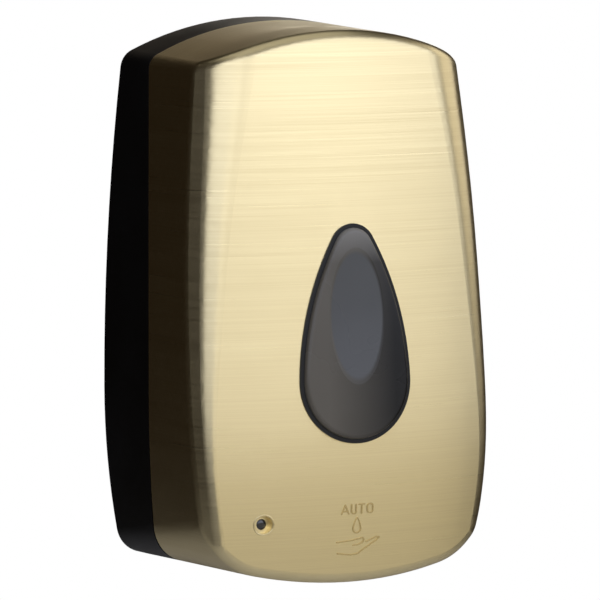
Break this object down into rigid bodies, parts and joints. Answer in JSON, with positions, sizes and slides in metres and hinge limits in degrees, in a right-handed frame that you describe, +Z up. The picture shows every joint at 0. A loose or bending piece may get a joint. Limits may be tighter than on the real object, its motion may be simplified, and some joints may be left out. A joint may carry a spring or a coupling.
{
  "type": "wall mounted soap dispenser",
  "caption": "Touch-free wall soap dispenser: black housing, brushed gold hinged cover with a smoked teardrop window, soap tank, peristaltic pump and battery bay inside.",
  "frame": {"origin": "on the wall plane, halfway up the casing and midway across it", "axes": "+X to the right as a user faces it, +Y into the wall, +Z up"},
  "size_m": [0.166, 0.1109, 0.27],
  "materials": {
    "brushed_gold": "brushed gold-coloured metal",
    "black_housing": "fine-textured black ABS",
    "smoked_lens": "smoked acrylic, polished",
    "grey_plastic": "moulded grey ABS",
    "clear_plastic": "clear polycarbonate",
    "tank_plastic": "translucent white polypropylene",
    "blue_cap": "moulded blue cap",
    "rubber": "black rubber",
    "silicone": "translucent silicone tube",
    "acetal": "white acetal",
    "steel": "zinc-plated steel",
    "brass_gear": "cut brass",
    "cell_jacket": "printed cell jacket",
    "circuit_green": "solder-masked board",
    "component_black": "moulded components",
    "infrared_lens": "dark infrared filter plastic"
  },
  "bodies": {
    "housing": {"back_housing": "black_housing", "hinge_pins": "steel", "latch_bracket": "black_housing", "latch_spring": "steel", "tank_shelf": "grey_plastic", "shelf_screws": "steel", "inlet_socket": "grey_plastic", "pump_housing": "grey_plastic", "pump_cover": "clear_plastic", "pump_cover_screws": "steel", "pump_tube": "silicone", "nozzle": "silicone", "module_screws": "steel", "gearbox_plate": "grey_plastic", "motor": "steel", "idler_shaft": "steel", "battery_box": "grey_plastic", "battery_door": "grey_plastic", "batteries": "cell_jacket", "battery_contacts": "steel", "control_board": "circuit_green", "board_components": "component_black", "board_screws": "steel", "electronics_cover": "grey_plastic", "sensor_block": "black_housing", "ir_lenses": "infrared_lens"},
    "cover": {"front_cover": "brushed_gold", "window_gasket": "black_housing", "window_lens": "smoked_lens", "indicator_bezel": "brushed_gold", "indicator_lens": "smoked_lens", "face_marking": "brushed_gold", "hinge_arms": "black_housing", "latch_catch": "grey_plastic"},
    "latch": {"latch": "grey_plastic"},
    "tank": {"tank": "tank_plastic", "spigot_seal": "rubber"},
    "cap": {"tank_cap": "blue_cap", "cap_seal": "rubber"},
    "pump_rotor": {"rotor": "acetal", "rotor_shaft": "steel", "roller_pins": "steel", "output_gear": "acetal"},
    "roller_1": {"roller_1": "acetal"},
    "roller_2": {"roller_2": "acetal"},
    "roller_3": {"roller_3": "acetal"},
    "idler": {"idler_gear": "acetal"},
    "pinion": {"motor_pinion": "brass_gear"},
    "power_switch": {"power_switch": "blue_cap"},
    "dose_selector": {"dose_selector": "blue_cap"}
  },
  "joints": [
    {"name": "cover_hinge", "type": "hinge", "parent": "housing", "child": "cover", "pos_m": [0, -0.022, -0.121], "axis": [1, 0, 0], "range_deg": [0, 90]},
    {"name": "latch_slide", "type": "slide", "parent": "housing", "child": "latch", "axis": [0, 0, 1], "range_m": [-0.006, 0], "stiffness_N_per_m": 400, "springref_m": 0.002, "deforming": ["latch_spring"]},
    {"name": "tank_lift", "type": "slide", "parent": "housing", "child": "tank", "axis": [0, 0, 1], "range_m": [0, 0.012]},
    {"name": "cap_turn", "type": "hinge", "parent": "tank", "child": "cap", "pos_m": [0, -0.05, 0.09], "axis": [0, 0, 1], "range_deg": [0, 90]},
    {"name": "rotor_spin", "type": "hinge", "parent": "housing", "child": "pump_rotor", "pos_m": [-0.01, -0.068, -0.089], "axis": [0, 1, 0], "continuous": true},
    {"name": "roller_1_spin", "type": "hinge", "parent": "pump_rotor", "child": "roller_1", "pos_m": [-0.0185, -0.068, -0.089], "axis": [0, 1, 0], "continuous": true},
    {"name": "roller_2_spin", "type": "hinge", "parent": "pump_rotor", "child": "roller_2", "pos_m": [-0.00575, -0.068, -0.09636], "axis": [0, 1, 0], "continuous": true},
    {"name": "roller_3_spin", "type": "hinge", "parent": "pump_rotor", "child": "roller_3", "pos_m": [-0.00575, -0.068, -0.08164], "axis": [0, 1, 0], "continuous": true},
    {"name": "idler_spin", "type": "hinge", "parent": "housing", "child": "idler", "pos_m": [0.0094, -0.052, -0.0778], "axis": [0, 1, 0], "continuous": true},
    {"name": "motor_spin", "type": "hinge", "parent": "housing", "child": "pinion", "pos_m": [0.0184, -0.0475, -0.09339], "axis": [0, 1, 0], "continuous": true},
    {"name": "power_slide", "type": "slide", "parent": "housing", "child": "power_switch", "axis": [0, 0, 1], "range_m": [0, 0.003]},
    {"name": "dose_slide", "type": "slide", "parent": "housing", "child": "dose_selector", "axis": [0, 0, 1], "range_m": [-0.003, 0.003]}
  ],
  "couplings": [
    {"joint": "idler_spin", "follows": "rotor_spin", "ratio": -3},
    {"joint": "motor_spin", "follows": "rotor_spin", "ratio": 12},
    {"joint": "roller_1_spin", "follows": "rotor_spin", "ratio": -3.0952},
    {"joint": "roller_2_spin", "follows": "rotor_spin", "ratio": -3.0952},
    {"joint": "roller_3_spin", "follows": "rotor_spin", "ratio": -3.0952}
  ]
}
